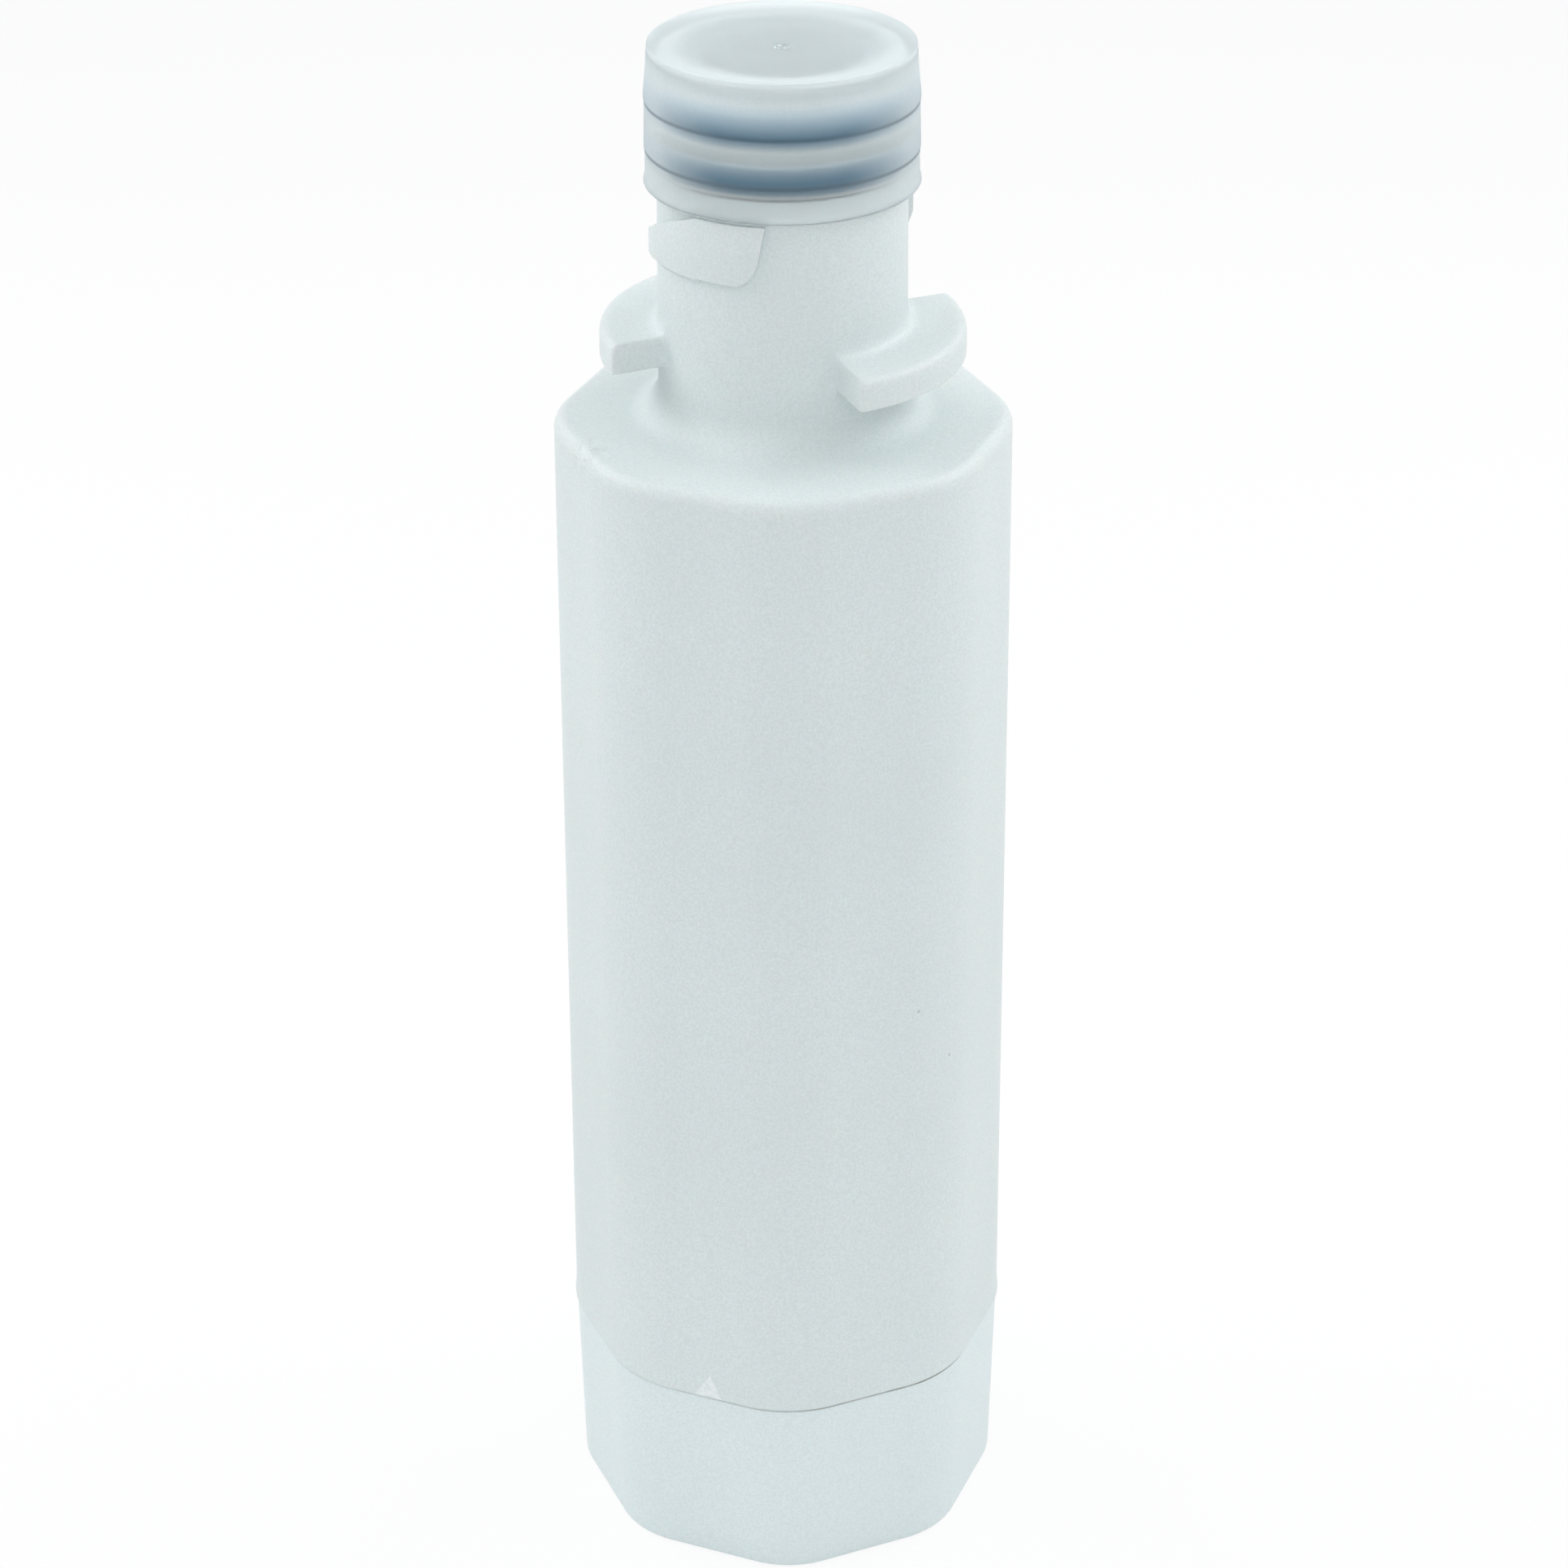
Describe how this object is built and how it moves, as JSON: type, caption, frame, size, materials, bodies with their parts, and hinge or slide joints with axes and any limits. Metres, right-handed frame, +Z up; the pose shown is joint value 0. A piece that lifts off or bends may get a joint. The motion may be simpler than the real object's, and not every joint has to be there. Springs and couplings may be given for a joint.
{
  "type": "refrigerator water filter cartridge",
  "caption": "Twist-in refrigerator water filter cartridge: a tapered rounded-octagon housing with a round bayonet neck, sealed port and a translucent pull-off protective cap.",
  "frame": {"origin": "middle of the underside of the base cup, on the axis of the cartridge", "axes": "+Z up the axis, from the base cup to the protective cap; -Y through the corner of the body that faces the viewer of the picture; +X to that viewer's right"},
  "size_m": [0.067, 0.067, 0.235],
  "materials": {
    "housing": "moulded polypropylene with a fine matt texture, very pale cool white",
    "base_cup": "moulded polypropylene, smooth satin, very pale cool white",
    "protective_cap": "thin translucent polyethylene, milky",
    "port_ring": "moulded rubber, dark, slightly oily",
    "end_cap": "moulded polypropylene, satin",
    "stem_ring": "moulded rubber, black",
    "screen": "punched plastic film",
    "adhesive": "set hot-melt adhesive, cream",
    "carbon": "extruded carbon block, dull, grainy",
    "bore_liner": "thin non-woven liner",
    "sediment_sleeve": "melt-blown fibre, soft, white",
    "fabric_wrap": "spun-bond fabric, white",
    "net_sleeve": "extruded netting, slightly clear",
    "seat_pad": "soft moulded rubber"
  },
  "bodies": {
    "cartridge": {"housing": "housing", "base_cup": "base_cup", "port_ring_upper": "port_ring", "port_ring_lower": "port_ring", "top_end_cap": "end_cap", "stem_ring_upper": "stem_ring", "stem_ring_lower": "stem_ring", "outlet_screen": "screen", "top_adhesive": "adhesive", "carbon_block": "carbon", "bore_liner": "bore_liner", "sediment_sleeve": "sediment_sleeve", "fabric_wrap": "fabric_wrap", "net_sleeve": "net_sleeve", "bottom_adhesive": "adhesive", "bottom_end_cap": "end_cap", "seat_pad": "seat_pad"},
    "cap": {"protective_cap": "protective_cap"}
  },
  "joints": [
    {"name": "cap_pull", "type": "slide", "parent": "cartridge", "child": "cap", "axis": [0, 0, 1], "range_m": [0, 0.045]}
  ]
}
